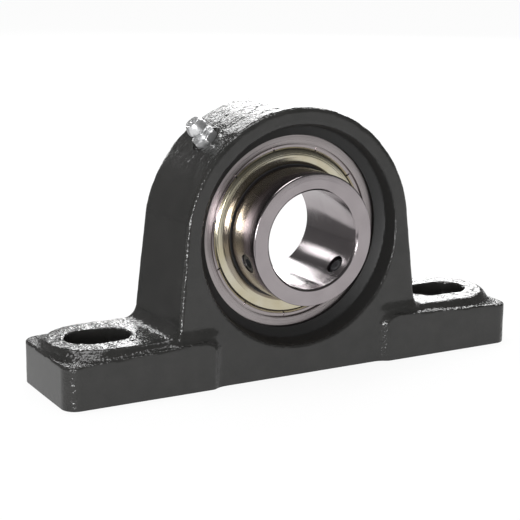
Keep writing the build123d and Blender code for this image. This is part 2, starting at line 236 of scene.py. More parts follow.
def ray_kinds(wire):
    """Two masks of the ray that is being traced: seen by the camera, and seen in metal or through glass."""
    kinds = ("Camera", "Glossy", "Transmission")
    seen, glossy, through = (wire.node("ShaderNodeLightPath", output=f"Is {kind} Ray") for kind in kinds)
    return seen, glossy + through


along_y, along_z = sky.node("ShaderNodeTexCoord", output="Generated").parts("YZ")
by_camera, in_metal = ray_kinds(sky)
backdrop = along_y.clip(backdrop_start, backdrop_full) * (1 - along_z.clip(horizon_start, horizon_end))
soft_room = along_y.clip(room_start, room_full) * (1 - front_light) + front_light
sharp_room = backdrop * (1 - front_shine) + front_shine
room = in_metal * sharp_room + (1 - in_metal) * soft_room
sky.tree.links.new((by_camera + (1 - by_camera) * room).socket, background.inputs["Strength"])
background.inputs["Color"].default_value = (1, 1, 1, 1)
bpy.context.scene.view_settings.view_transform = "Standard"
print("world goes from", front_light, "in front to 1 behind")

# %% [markdown]
# The floor is a sheet of matt white paper.  The camera sees it mostly as an even glow, with the block's
# shadow left on it, and reflections see it a little dimmer, so that white metal still stands out from it.

# %% Floor
half_floor = 3.0
floor_glow = 0.9
floor_shine = 0.8


def matt(name, shade):
    """Material of one grey without gloss, and the wire of its shader."""
    material = bpy.data.materials.new(name)
    material.use_nodes = True
    shader = material.node_tree.nodes["Principled BSDF"]
    shader.inputs["Base Color"].default_value = (shade, shade, shade, 1)
    shader.inputs["Specular IOR Level"].default_value = 0.0
    return material, Wire(material.node_tree, shader.outputs[0])


def stage_sheet(name, corners, material):
    """A flat sheet of the stage from its four corners in metres."""
    stage = bpy.data.objects.new(name, bpy.data.meshes.new(name))
    stage.data.from_pydata(corners, [], [(0, 1, 2, 3)])
    stage.data.materials.append(material)
    bpy.context.scene.collection.objects.link(stage)
    return stage


paper, sheet = matt("paper", 0.86)
sheet.socket.node.inputs["Roughness"].default_value = 0.9
floor_corners = [(x * half_floor, y * half_floor, 0) for x, y in ((-1, -1), (1, -1), (1, 1), (-1, 1))]
stage_sheet("floor", floor_corners, paper)
glow, shine = (
    sheet.node("ShaderNodeEmission", {"Color": (1, 1, 1, 1), "Strength": strength})
    for strength in (1.0, floor_shine)
)
by_camera, in_metal = ray_kinds(sheet)
seen = sheet.node("ShaderNodeMixShader", {0: by_camera * floor_glow, 1: sheet, 2: glow})
mixed = sheet.node("ShaderNodeMixShader", {0: in_metal, 1: seen, 2: shine})
sheet.tree.links.new(mixed.socket, paper.node_tree.nodes["Material Output"].inputs["Surface"])
print("floor of", 2 * half_floor, "m")

# %% [markdown]
# Each lamp is a soft box, and each has one task.  The overhead lamp gives the soft top light and the key
# lamp, low on the left, models the block.  The front lamp puts beads of light on the casting's edges.  The
# rim, spark and ledge lamps stand behind, where the upward faces mirror them: the rim lamp whitens the
# bosses, the spark lamp the crown and the ledge lamp the narrow ledges round the bosses.  The bore lamp is
# the size of a thumbnail and draws the streak inside the bore.
#
# Bright metal needs something dark to show its shape.  Three black cards do that: reflections see them,
# but not the camera, and they take no light from the block.

# %% Lamps and cards
middle = Vector((0, 0, centre_height * mm))
lamps = {  # place in metres, width, height and watts
    "overhead": ((-0.1, 0.1, 0.9), 0.5, 0.5, 4.0),
    "key": ((-0.60, -0.75, 0.10), 0.35, 0.18, 4.4),
    "front": ((-0.50, -0.81, 0.21), 0.20, 0.22, 1.2),
    "rim": ((0.56, 0.90, 0.30), 0.44, 0.18, 2.5),
    "spark": ((0.17, 0.85, 0.50), 0.28, 0.12, 0.9),
    "ledge": ((0.57, 0.46, 0.59), 0.25, 0.20, 1.4),
    "bore": ((-0.035, 0.10, 0.082), 0.022, 0.022, 0.006),
}
cards = {
    "low_card": [(-0.02, 0.09, 0.001), (-0.14, 0.05, 0.001), (-1.2, 0.6, 0.001), (-0.3, 1.2, 0.001)],
    "front_card": [(-0.45, -0.6, 0.001), (-0.02, -0.6, 0.001), (-0.02, -0.12, 0.001), (-0.2, -0.1, 0.001)],
    "high_card": [(-1.1, 0.25, 0.0), (-0.05, 1.0, 0.0), (-0.05, 1.0, 0.75), (-1.1, 0.25, 0.75)],
}


def soft_lamp(name, place, aim, width, height, watts):
    """A rectangular lamp at a place in metres, facing its aim."""
    lamp = bpy.data.objects.new(name, bpy.data.lights.new(name, "AREA"))
    lamp.data.shape = "RECTANGLE"
    lamp.data.size = width
    lamp.data.size_y = height
    lamp.data.energy = watts
    facing = (Vector(aim) - Vector(place)).to_track_quat("-Z", "Y")
    lamp.matrix_world = Matrix.Translation(place) @ facing.to_matrix().to_4x4()
    bpy.context.scene.collection.objects.link(lamp)


for name, (place, width, height, watts) in lamps.items():
    soft_lamp(name, place, middle, width, height, watts)
black_card, _ = matt("black_card", 0.10)
for name, corners in cards.items():
    card = stage_sheet(name, corners, black_card)
    card.visible_camera = card.visible_diffuse = card.visible_shadow = False
print("lamps:", *lamps, " cards:", *cards)

# %% [markdown]
# ## From arrays to pieces
#
# Every new piece is computed as whole arrays of points and faces.  One helper turns them into a mesh,
# another checks by its signed volume that the shell faces outwards, and a third hands the finished object
# to the frame: the body that it rides on, the nodes that it stands for and the slot of its finish.

# %% Array helpers
crease = np.radians(32.0)


def outward(points, faces):
    """Faces turned so that the volume they enclose, the sum of a . (b x c) / 6, is positive."""
    a, b, c, d = (points[faces[:, corner]] for corner in range(4))
    volume = np.einsum("ij,ij->i", a, np.cross(b, c)) + np.einsum("ij,ij->i", a, np.cross(c, d))
    return faces if volume.sum() > 0 else faces[:, ::-1]


def mesh_object(name, points, faces):
    """Object from points in millimetres and faces of four corners; a repeated corner makes a triangle."""
    mesh = bpy.data.meshes.new(name)
    corners = [tuple(dict.fromkeys(face)) for face in outward(points, faces).tolist()]
    mesh.from_pydata((points * mm).tolist(), [], corners)
    mesh.shade_smooth()
    mesh.set_sharp_from_angle(angle=crease)
    made = bpy.data.objects.new(name, mesh)
    bpy.context.scene.collection.objects.link(made)
    return made


def join_shells(*shells):
    """Several (points, faces) shells as one, each facing outwards."""
    counts = np.cumsum([0] + [len(points) for points, faces in shells[:-1]])
    points = np.concatenate([points for points, faces in shells])
    faces = np.concatenate([outward(p, f) + start for (p, f), start in zip(shells, counts)])
    return points, faces


def grid_faces(rows, columns, wrap_rows=False):
    """Quads between neighbours of a grid whose every row is a loop, and which may be a loop of rows."""
    row = np.arange(rows if wrap_rows else rows - 1)[:, None]
    column = np.arange(columns)[None, :]
    next_row, next_column = (row + 1) % rows, (column + 1) % columns
    quads = [row * columns + column, row * columns + next_column]
    quads += [next_row * columns + next_column, next_row * columns + column]
    return np.stack(np.broadcast_arrays(*quads), axis=-1).reshape(-1, 4)


dressed = {}


def dress(piece, body, slot, *nodes):
    """Give a finished piece to the frame: its body, its material slot and the nodes it stands for."""
    dressed[piece] = slot
    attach(piece, body)
    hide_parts(*nodes)
    print(f"{piece.name}: {len(piece.data.vertices)} points, {len(piece.data.polygons)} faces on {body}")


print("three loops of four points make", len(grid_faces(3, 4)), "faces")

# %% [markdown]
# ## Turned surfaces
#
# A turned surface has two parameters: the place on its profile and the angle round the axis.  A point is
# the axis origin, plus the profile's distance along the axis, plus its radius times a unit vector that
# goes round.  A profile that starts and ends on the axis closes at two poles.  Any other profile is a loop,
# and gives a ring.  Profiles are drawn as (distance along the axis, radius) pairs with sharp corners, and
# a second step rounds each corner.  A Screw modifier could carry a profile round too, but a formula also
# lets a rule change the radius on the way, which makes threads and hexagons.

# %% Turning
def turned(profile, origin, along, steps, rule):
    """Points origin + u along + r (cos t a + sin t b) for each (u, r) of the profile and each angle t.

    A rule may change r by u and t, for shapes that are not quite round.
    """
    profile = np.asarray(profile, float)
    along = np.asarray(along, float) / np.linalg.norm(along)
    helper = np.array([0, 0, 1.0]) if abs(along[2]) < 0.9 else np.array([1.0, 0, 0])
    first = np.cross(helper, along)
    first /= np.linalg.norm(first)
    second = np.cross(along, first)
    angle = np.linspace(0, 2 * np.pi, steps, endpoint=False)
    spokes = np.outer(np.cos(angle), first) + np.outer(np.sin(angle), second)
    radius = np.broadcast_to(profile[:, 1:], (len(profile), steps))
    if rule:
        radius = rule(radius, profile[:, :1], angle)
    points = np.asarray(origin) + profile[:, :1, None] * along + radius[:, :, None] * spokes
    faces = grid_faces(len(profile), steps, profile[0, 1] > 0)
    on_axis = np.repeat(profile[:, 1] == 0, steps)
    pole = np.arange(len(on_axis))
    pole[on_axis] -= pole[on_axis] % steps
    used, renumbered = np.unique(pole, return_inverse=True)
    return points.reshape(-1, 3)[used], renumbered[faces]


def arc(centre, radius, start, end, steps):
    """Points centre + radius (cos, sin) from one angle to another, in degrees."""
    angle = np.radians(np.linspace(start, end, steps))
    return np.column_stack([centre[0] + radius * np.cos(angle), centre[1] + radius * np.sin(angle)])


same_point = 1e-4


def rounded(corners, radius, steps=5, closed=True):
    """Profile with each corner rounded: the arc's centre lies on the corner's bisector.

    It is radius / sin(half) from the corner, and the arc starts radius / tan(half) along each side.
    An open line keeps its two ends.
    """
    corners = np.asarray(corners, float)
    inner = slice(None) if closed else slice(1, -1)
    corner = corners[inner]
    radius = np.broadcast_to(np.asarray(radius, float), len(corners))[inner, None]
    back, ahead = (np.roll(corners, turn, axis=0)[inner] - corner for turn in (1, -1))
    back /= np.linalg.norm(back, axis=1, keepdims=True)
    ahead /= np.linalg.norm(ahead, axis=1, keepdims=True)
    half = np.arccos(np.clip(np.sum(back * ahead, axis=1, keepdims=True), -1, 1)) / 2
    bisector = back + ahead
    bisector /= np.maximum(np.linalg.norm(bisector, axis=1, keepdims=True), 1e-9)
    centre = corner + bisector * radius / np.sin(half)
    start, end = (corner + way * radius / np.tan(half) - centre for way in (back, ahead))
    share = np.linspace(0, 1, steps)[None, :, None]
    swing = np.maximum(np.pi - 2 * half[:, :, None], 1e-6)
    from_start, from_end = np.sin((1 - share) * swing), np.sin(share * swing)
    arcs = (from_start * start[:, None] + from_end * end[:, None]) / np.sin(swing)
    profile = (centre[:, None] + arcs).reshape(-1, 2)
    if not closed:
        profile = np.concatenate([corners[:1], profile, corners[-1:]])
    moved = np.linalg.norm(profile - np.roll(profile, 1, axis=0), axis=1) > same_point
    return profile[moved]


shaft_origin = np.array([0, 0, centre_height])
shaft_front = np.array([0, -1.0, 0])


def turned_object(name, profile, origin=shaft_origin, along=shaft_front, steps=240, rule=None):
    """Object with a turned surface."""
    return mesh_object(name, *turned(profile, origin, along, steps, rule))


print("a square with rounded corners has", len(rounded([(0, 0), (3, 0), (3, 3), (0, 3)], 1.0)), "points")

# %% [markdown]
# ## Cutting
#
# Holes, slots and sockets are cut with Boolean modifiers, as a drill or a cutter would make them.  The
# result is kept as the piece's mesh and the cutters are thrown away, so no modifier is left on a piece.

# %% Carving
def carve(piece, cutters):
    """Cut pieces away from a piece, and keep the result as its mesh."""
    for cutter in cutters:
        cut = piece.modifiers.new(cutter.name, "BOOLEAN")
        cut.object = cutter
        cut.operation = "DIFFERENCE"
        cut.solver = "MANIFOLD"
    bpy.context.view_layer.update()
    evaluated = piece.evaluated_get(bpy.context.evaluated_depsgraph_get())
    result = bpy.data.meshes.new_from_object(evaluated)
    result.shade_smooth()
    result.set_sharp_from_angle(angle=crease)
    piece.modifiers.clear()
    piece.data = result
    for cutter in cutters:
        bpy.data.objects.remove(cutter)


def block(low, high, axes=np.eye(3), origin=(0, 0, 0)):
    """Shell of a block: each of its eight corners picks the low or the high limit along each axis."""
    corners = np.array([np.where(pick, high, low) for pick in np.ndindex(2, 2, 2)], float)
    sides = [(0, 1, 3, 2), (4, 6, 7, 5), (0, 4, 5, 1), (2, 3, 7, 6), (0, 2, 6, 4), (1, 5, 7, 3)]
    return corners @ np.asarray(axes) + origin, np.array(sides)


block_corners, block_sides = block((0, 0, 0), (1, 1, 1))
print(f"a block has {len(block_corners)} corners and {len(block_sides)} sides")

# %% [markdown]
# ## The casting as a field
#
# A pattern maker thinks in solids that grow into each other: an arch, a base, two pads and two bosses, all
# melted together with fillets.  Bevels on a joined mesh break where fillets of several sizes meet, but a
# field has no such trouble.  Each solid is a function of place that is negative inside and tells the
# distance to its skin, and two rules join fields with a round: one for a fillet in a corner, one for a
# rounded edge.  The casting's skin is where the whole formula is zero.

# %% Rules for rounds
def fillet(a, b, radius):
    """Union with a fillet: a circle in the corner where both distances are under its radius."""
    corner = np.hypot(np.maximum(radius - a, 0), np.maximum(radius - b, 0))
    return np.maximum(radius, np.minimum(a, b)) - corner


def round_edge(a, b, radius):
    """Overlap with a rounded edge: the fillet rule turned inside out."""
    return -fillet(-a, -b, radius)


print(f"a fillet of 4 mm covers its corner by {-fillet(0, 0, 4.0):.2f} mm")

# %% [markdown]
# The arch and its base are one upright slab whose faces lean in towards the crown, so that the pattern can
# be drawn out of the sand.  The legs run down from the circle at a tangent and end in a fillet on the base.

# %% The arch and the base
base_top = 12.9
leg_slope = np.radians(6.0)
middle_half_width = 16.5
crown_half_width = 14.0
leg_fillet = 4.5
cast_edge = 1.2
lean_in = middle_half_width - crown_half_width
print(f"legs lean {np.degrees(leg_slope):.0f} degrees, faces lean in by {lean_in} mm")


def arch_field(x, y, z):
    """Arch on its base: a circle above the tangent point, straight legs below it, faces that lean in."""
    across, above = np.abs(x), z - centre_height
    over = above * np.cos(leg_slope) > across * np.sin(leg_slope)
    leg = across * np.cos(leg_slope) + above * np.sin(leg_slope)
    outline = np.where(over, np.hypot(across, above), leg) - arch_radius
    base = np.maximum(z - base_top, across - base_length / 2 + leg_fillet)
    lean = lean_in / crown_height
    face = (np.abs(y) - middle_half_width + lean * z) / np.hypot(1, lean)
    return round_edge(fillet(outline, base, leg_fillet), face, cast_edge)


# %% [markdown]
# Each foot is a pad that stands a little in front of and behind the slab, with a drafted boss on it that
# gives the bolt a level seat.  Both are fields too, so the legs, pads and bosses melt into each other.

# %% Pads and bosses
pad_inner = 28.8
pad_rise = 0.042
pad_shoulder = 3.0
pad_end_slope = np.radians(45.0)
foot_corner = 4.5
pad_edge = 0.6
pad_fillet = 0.8
boss_edge = 0.6
boss_inner = 30.5
boss_top = 15.6
boss_centre = 61.5
boss_half_width = 15.2
boss_slope = np.radians(14.0)
print(f"bosses stand {boss_top - base_top:.1f} mm above the outer ends of the pads")


def foot_fields(x, y, z):
    """Pad with rounded corners and edges, and a drafted boss whose plan is a stadium.

    The pad's top rises evenly from its outer end towards the arch, so the ledge round the boss narrows
    there.  Its inner end is a plane that slopes out from the slab's face to the pad's own.
    """
    across = np.abs(x)
    plan = round_edge(across - base_length / 2, np.abs(y) - base_width / 2, foot_corner)
    step = np.maximum(np.abs(y) - middle_half_width, 0) * np.sin(pad_end_slope)
    end = (pad_inner - across) * np.cos(pad_end_slope) + step
    top = base_top + pad_rise * (base_length / 2 - across)
    shoulder = round_edge(end, z - top, pad_shoulder)
    pad = round_edge(plan, shoulder, pad_edge)
    rim = np.hypot(np.maximum(across - boss_centre, 0), y) - boss_half_width
    flank = rim * np.cos(boss_slope) + np.maximum(z - base_top, 0) * np.sin(boss_slope)
    boss = round_edge(round_edge(flank, z - boss_top, boss_edge), boss_inner - across, boss_edge)
    return pad, boss


# %% [markdown]
# The bolt slots, the cored pocket underneath and the recess on each side of the seat are cast in as well.
# Their fields are turned inside out and joined with a small round, which is the edge that sand leaves.

# %% Slots, pocket and recesses
slot_edge = 0.35
pocket_half = (23.0, 9.0)
pocket_depth = 4.8
pocket_slope = np.radians(8.0)
pocket_corner = 5.0
pocket_floor_round = 1.5
recess_floor_radius = 32.6
recess_mouth_radius = 33.6
recess_floor_depth = 10.7
recess_mouth_depth = 15.2
seat_radius = 31.03
seat_half_width = 9.0
recess_edge = 0.6
print(f"slots {slot_length:.1f} x {slot_width:.1f} mm, {bolt_spacing:.0f} mm apart")


def hollow_field(x, y, z):
    """Bolt slots, cored pocket and the two recesses beside the seat, negative in the hollows."""
    half_run = (slot_length - slot_width) / 2
    along = np.maximum(np.abs(np.abs(x) - bolt_spacing / 2) - half_run, 0)
    slot = np.hypot(along, y) - slot_width / 2
    wall = round_edge(np.abs(x) - pocket_half[0], np.abs(y) - pocket_half[1], pocket_corner)
    sloped = wall * np.cos(pocket_slope) + z * np.sin(pocket_slope)
    pocket = round_edge(sloped, z - pocket_depth, pocket_floor_round)
    radius, depth = np.hypot(x, z - centre_height), np.abs(y)
    opening = (recess_mouth_radius - recess_floor_radius) / (recess_mouth_depth - recess_floor_depth)
    side = radius - recess_floor_radius - opening * (depth - recess_floor_depth)
    seat_rim = np.sqrt(seat_radius**2 - seat_half_width**2)
    floor_slope = (recess_floor_depth - seat_half_width) / (recess_floor_radius - seat_rim)
    bottom = seat_half_width + floor_slope * (radius - seat_rim) - depth
    return slot, pocket, np.maximum(side, bottom)


def casting_field(points):
    """Distance to the skin of the whole casting."""
    x, y, z = points.T
    pad, boss = foot_fields(x, y, z)
    solid = fillet(fillet(arch_field(x, y, z), boss, leg_fillet), pad, pad_fillet)
    slot, pocket, recess = hollow_field(x, y, z)
    solid = round_edge(solid, -slot, slot_edge)
    solid = round_edge(solid, -recess, recess_edge)
    return np.maximum(solid, -pocket)


# %% [markdown]
# ## From field to skin
#
# The space round the casting is divided into small cubes.  Each cube that the skin crosses gets one point,
# at the mean of the crossings on its edges, and each crossed edge gets a face between its four cubes.  This
# is a surface net.  A few Newton steps then put every point on the skin exactly: it moves by the value of
# the field along the gradient.

# %% Surface net
def surface_net(field, low, high, step):
    """Points and faces where the field is zero in a box, from cubes of the given step."""
    axes = [np.arange(start, end + step, step) for start, end in zip(low, high)]
    shape = tuple(len(axis) for axis in axes)
    nodes = np.stack(np.meshgrid(*axes, indexing="ij"), axis=-1).reshape(-1, 3)
    value = np.concatenate([field(part) for part in np.array_split(nodes, 16)]).reshape(shape)
    total = np.zeros(shape + (3,))
    count = np.zeros(shape)
    number = np.arange(value.size).reshape(shape)
    faces = []
    for axis in range(3):
        near, far = np.moveaxis(value, axis, 0)[:-1], np.moveaxis(value, axis, 0)[1:]
        crossed = (near < 0) != (far < 0)
        where = np.argwhere(crossed)
        share = near[crossed] / (near[crossed] - far[crossed])
        cell = np.insert(where[:, 1:], axis, where[:, 0], axis=1)
        place = cell.astype(float)
        place[:, axis] += share
        others = [other for other in range(3) if other != axis]
        around = []
        for shift in ((0, 0), (1, 0), (1, 1), (0, 1)):
            cube = cell.copy()
            cube[:, others] -= shift
            np.add.at(total, tuple(cube.T), place)
            np.add.at(count, tuple(cube.T), 1)
            around.append(number[tuple(cube.T)])
        quad = np.stack(around, axis=1)
        turned_over = (near[crossed] < 0) != (axis == 1)
        faces.append(np.where(turned_over[:, None], quad, quad[:, ::-1]))
    used = count > 0
    points = total[used] / count[used][:, None] * step + np.array([axis[0] for axis in axes])
    renumber = np.cumsum(used.ravel()) - 1
    return points, renumber[np.concatenate(faces)]


def gradient(field, points, reach=0.02):
    """Slope of the field by differences over a short reach each way."""
    steps = np.eye(3) * reach
    return np.stack([field(points + step) - field(points - step) for step in steps], axis=1) / (2 * reach)


def onto_skin(field, points, rounds=3):
    """Newton steps: each point moves by -f g / |g|^2."""
    for _ in range(rounds):
        slope = gradient(field, points)
        points = points - field(points)[:, None] * slope / np.sum(slope**2, axis=1, keepdims=True)
    return points


def ball_field(points):
    """Distance to a ball of 5 mm, to try the net on."""
    return np.linalg.norm(points, axis=1) - 5


ball, ball_faces = surface_net(ball_field, (-6, -6, -6), (6, 6, 6), 1.0)
ball_error = np.abs(ball_field(onto_skin(ball_field, ball))).max()
print(f"test ball: {len(ball)} points, {len(ball_faces)} faces, {ball_error:.0e} mm off its skin at most")

# %% [markdown]
# ## The skin of sand
#
# A sand casting is never quite flat.  The sand, the gate and the paint leave slow waves and small lumps,
# a tenth of a millimetre or two high.  They are real shape, so they move the points, and only the finest
# grain is left to the finish.  Upward faces and the edges of the arch are the coarsest.

# %% Unevenness of the sand mould
swell = (14.0, 0.06, 3)  # size and height of a lump in millimetres, and its seed
sand_waves = ((3.6, 0.13, 7), (2.0, 0.09, 11), (1.2, 0.04, 13))
top_facing = (0.35, 0.85)
edge_facing = (0.03, 0.15)
flank_height = 14.2
flank_half = 1.2
ledge_share = 0.4


def ramp(value, low, high):
    """0 at low, 1 at high, straight in between."""
    return np.clip((value - low) / (high - low), 0, 1)


def lumps(points, size, seed):
    """Smooth random heights: a lattice of random numbers, blended in each cell by s s (3 - 2 s)."""
    table = np.random.default_rng(seed).uniform(-1, 1, (32, 32, 32))
    cell, share = np.divmod(points / size, 1.0)
    share = share**2 * (3 - 2 * share)
    height = np.zeros(len(points))
    for corner in np.ndindex(2, 2, 2):
        i, j, k = ((cell.astype(int) + corner) % 32).T
        height += table[i, j, k] * np.prod(np.where(corner, share, 1 - share), axis=1)
    return height


def coarseness(points, normal):
    """0 on walls and in the recesses, 1 on top, less on the ledges, and half on the edges.

    An edge shows in the normal's y part: y y (1 - y y) is 0 on faces and sides, and large between them.
    The flanks of the bosses lean as much as an edge does, so they are left out by their height.
    """
    x, _, z = points.T
    across = normal[:, 1] ** 2
    on_edge = ramp(across * (1 - across), *edge_facing) / 2
    on_edge *= ramp(np.abs(z - flank_height), flank_half, flank_half + 1)
    outside = ramp(np.hypot(x, z - centre_height), recess_mouth_radius + 0.5, recess_mouth_radius + 1.5)
    raised = np.maximum(ramp(z, base_top + 1, base_top + 2), ledge_share)
    return np.clip(ramp(normal[:, 2], *top_facing) * raised + on_edge, 0, 1) * outside


print(f"lumps of up to {sum(height for _, height, _ in sand_waves):.2f} mm on waves of {swell[1]} mm")

# %% Mesh the casting
net_step = 0.62
below_bed = 1.5
net_low = (-base_length / 2 - 1, -base_width / 2 - 1, -below_bed)
net_high = (base_length / 2 + 1, base_width / 2 + 1, crown_height + 1)


def cast_block(points):
    """Casting that ends just under the bed, where it is milled off later."""
    return np.maximum(casting_field(points), -below_bed / 2 - points[:, 2])


skin, skin_faces = surface_net(cast_block, net_low, net_high, net_step)
skin = onto_skin(cast_block, skin)
skin_slope = gradient(casting_field, skin)
skin_slope /= np.linalg.norm(skin_slope, axis=1, keepdims=True)
sand = sum(height * lumps(skin, size, seed) for size, height, seed in sand_waves)
sand *= coarseness(skin, skin_slope)
sand += swell[1] * lumps(skin, swell[0], swell[2])
casting = mesh_object("casting", skin + sand[:, None] * skin_slope, skin_faces)
print("casting skin:", len(skin), "points")

# %% [markdown]
# ## Machining the casting
#
# The machined faces are cut after the casting is made, as in the shop: the bed is milled flat, the seat is
# bored to a sphere, and the spot face and tapped hole for the nipple are drilled.  Boolean cutters leave
# crisp edges, where a surface net would blur them.

# %% Cutters
nipple_angle = np.radians(130.8)
nipple_forward = 0.75
nipple_out = np.array([np.cos(nipple_angle), 0, np.sin(nipple_angle)])
spot_place = 37.9
spot_origin = shaft_origin + spot_place * nipple_out + nipple_forward * shaft_front
spot_radius = 4.8
tapped_radius, tapped_end = 3.0, -4.2
drill_radius, drill_end = 1.5, -12
spot_profile = [(base_width, 0), (base_width, spot_radius), (0, spot_radius), (0, tapped_radius)]
spot_profile += [(tapped_end, tapped_radius), (tapped_end, drill_radius)]
spot_profile += [(drill_end, drill_radius), (drill_end, 0)]
loading_half = outer_half_width + 0.1
half_sweep = np.degrees(np.arcsin(seat_half_width / seat_radius))
seat_arc = arc((0, 0), seat_radius, 90 + half_sweep, 90 - half_sweep, 33)
seat_end = seat_half_width + 0.4
seat_mouth = seat_arc[0, 1]
seat_back = [(-seat_end, 0), (-seat_end, seat_mouth)]
seat_front = [(seat_end, seat_mouth), (seat_end, 0)]
seat_profile = np.concatenate([seat_back, seat_arc, seat_front])
print(f"nipple {spot_place:.1f} mm out at {np.degrees(nipple_angle):.1f} degrees")

# %% Cut the casting
loading_low = (-seat_radius, 0, -loading_half)
loading_high = (seat_radius, recess_floor_depth, loading_half)
bed_low = (-base_length, -base_width, -base_width)
bed_high = (base_length, base_width, 0)
carve(casting, [
    turned_object("seat_cutter", seat_profile, steps=360),
    mesh_object("loading_cutter", *block(loading_low, loading_high, origin=shaft_origin)),
    turned_object("spot_cutter", spot_profile, spot_origin, nipple_out, steps=96),
    mesh_object("bed_cutter", *block(bed_low, bed_high)),
])
dress(casting, "housing", "cast_iron_paint", "housing")

# %% [markdown]
# ## Bearing rings
#
# The rings are turned and ground, so each is one closed profile carried round the shaft.  Every corner of a
# ground ring has a small round, and that round is what catches the light as a thin bright line.

# %% Outer ring
ring_corner = 0.3
shield_seat = 7.0
shield_seat_radius = 26.945
land_radius = 25.895
race_curve = 4.953
outer_race_bottom = 27.895
race_steps = 17
groove_place = -5.2
groove_half = 0.8
groove_depth = 0.6
grease_hole_radius = 0.7


def on_circle(radius, across):
    """Distance out from the centre of a circle at an offset across it."""
    return np.sqrt(radius**2 - across**2)


def raceway(centre, land, way):
    """Arc of the ball's track round a centre, as far as it stands clear of the ring's land."""
    sweep = np.degrees(np.arcsin(on_circle(race_curve, land - centre) / race_curve))
    return arc((0, centre), race_curve, way - sweep, way + sweep, race_steps)


def sphere_run(start, end, steps):
    """Profile points on the ring's spherical outside between two places along the shaft."""
    along = np.linspace(start, end, steps)
    return np.column_stack([along, on_circle(insert_radius, along)])


groove_floor = on_circle(insert_radius, groove_place) - groove_depth
groove_low, groove_high = groove_place - groove_half, groove_place + groove_half
short_run = sphere_run(-outer_half_width, groove_low, 5)
long_run = sphere_run(groove_high, outer_half_width, 21)
shield_step = np.array([
    (outer_half_width, shield_seat_radius), (shield_seat, shield_seat_radius), (shield_seat, land_radius)
])
outer_corners = np.concatenate([
    short_run,
    [(groove_low, groove_floor), (groove_high, groove_floor)],
    long_run,
    shield_step,
    raceway(outer_race_bottom - race_curve, land_radius, 90),
    shield_step[::-1] * (-1, 1),
])
outer_rounds = np.zeros(len(outer_corners))
last_of_sphere = len(short_run) + 2 + len(long_run) - 1
outer_rounds[[0, last_of_sphere]] = ring_corner
outer_rounds[[last_of_sphere + 1, -1]] = ring_corner / 2
outer_ring = turned_object("outer_ring_ground", rounded(outer_corners, outer_rounds))
past_outer = insert_radius + 1
hole_profile = [(0, 0), (0, grease_hole_radius), (past_outer, grease_hole_radius), (past_outer, 0)]
hole_origin = shaft_origin + shaft_front * groove_place
hole_ways = (nipple_out, -nipple_out)
carve(outer_ring, [turned_object("hole", hole_profile, hole_origin, way, steps=24) for way in hole_ways])
dress(outer_ring, "insert", "ring_steel", "outer_ring")

# %% [markdown]
# The inner ring reaches out at the front, where two set screws clamp it on the shaft.  Its bore is
# chamfered at both ends so that a shaft slides in, and each tapped hole has a chamfer on the outside.

# %% Inner ring
screw_angles = np.radians([-41.5, -161.5])
screw_plane = 16.0
hole_radius = 3.0
chamfer_depth = 0.3
chamfer_slope = 0.25
inner_race_bottom = 18.31
bore_chamfer = 0.6
inner_corners = np.concatenate([
    [(-inner_back, inner_radius)],
    raceway(inner_race_bottom + race_curve, inner_radius, 270),
    [(inner_front, inner_radius), (inner_front, bore_radius + bore_chamfer)],
    [(inner_front - bore_chamfer, bore_radius), (bore_chamfer - inner_back, bore_radius)],
    [(-inner_back, bore_radius + bore_chamfer)],
])
front_corner = race_steps + 1
inner_rounds = np.zeros(len(inner_corners))
inner_rounds[[0, front_corner]] = 0.45
inner_rounds[front_corner + 1 :] = 0.12
inner_ring = turned_object("inner_ring_ground", rounded(inner_corners, inner_rounds), steps=288)
screw_ways = [np.array([np.cos(angle), 0, np.sin(angle)]) for angle in screw_angles]
screw_origin = shaft_origin + shaft_front * screw_plane
past_inner = inner_radius + 1.2
chamfer_start = inner_radius - chamfer_depth
chamfer_radius = hole_radius + (past_inner - chamfer_start) * chamfer_slope
tapped_profile = [(0, 0), (0, hole_radius), (chamfer_start, hole_radius)]
tapped_profile += [(past_inner, chamfer_radius), (past_inner, 0)]
carve(inner_ring, [turned_object("tap", tapped_profile, screw_origin, way, steps=64) for way in screw_ways])
dress(inner_ring, "inner_ring", "polished_steel", "inner_ring")

# %% [markdown]
# ## Set screws
#
# A set screw is a threaded stud with a hexagon socket and a cup point.  Its side is a turned surface with a
# rule: the radius falls and rises as a triangle wave of the height less one pitch per turn, which makes the
# thread's helix.  The wave fades out at both ends.

# %% Threads, sockets and points
thread_pitch = 0.75
thread_depth = 0.38
thread_fade = 0.3
screw_radius = 2.95
screw_low = bore_radius + 0.35
screw_high = screw_low + 4.4
side_low, side_high = screw_low + 0.75, screw_high - 0.3
socket_flats = 3.0
socket_floor = screw_high - 2.0
socket_radius = 1.8


def thread(radius, along, angle):
    """Radius less the depth times a triangle wave of height / pitch - turn, faded near both ends."""
    turn = along / thread_pitch - angle / (2 * np.pi)
    wave = np.abs(2 * (turn - np.floor(turn)) - 1)
    from_end = np.minimum(along - side_low + 0.25, side_high - 0.05 - along)
    fade = np.clip(from_end / thread_fade, 0, 1)
    on_side = np.isclose(radius, screw_radius)
    return radius - on_side * fade * thread_depth * wave


def hexagon(flats, first_flat):
    """Rule that cuts a radius to a hexagon.

    The radius is at most half the width across flats over the cosine of the angle to the nearest flat.
    """
    def rule(radius, along, angle):
        off_flat = (angle - first_flat + np.pi / 6) % (np.pi / 3) - np.pi / 6
        return np.minimum(radius, flats / 2 / np.cos(off_flat))
    return rule


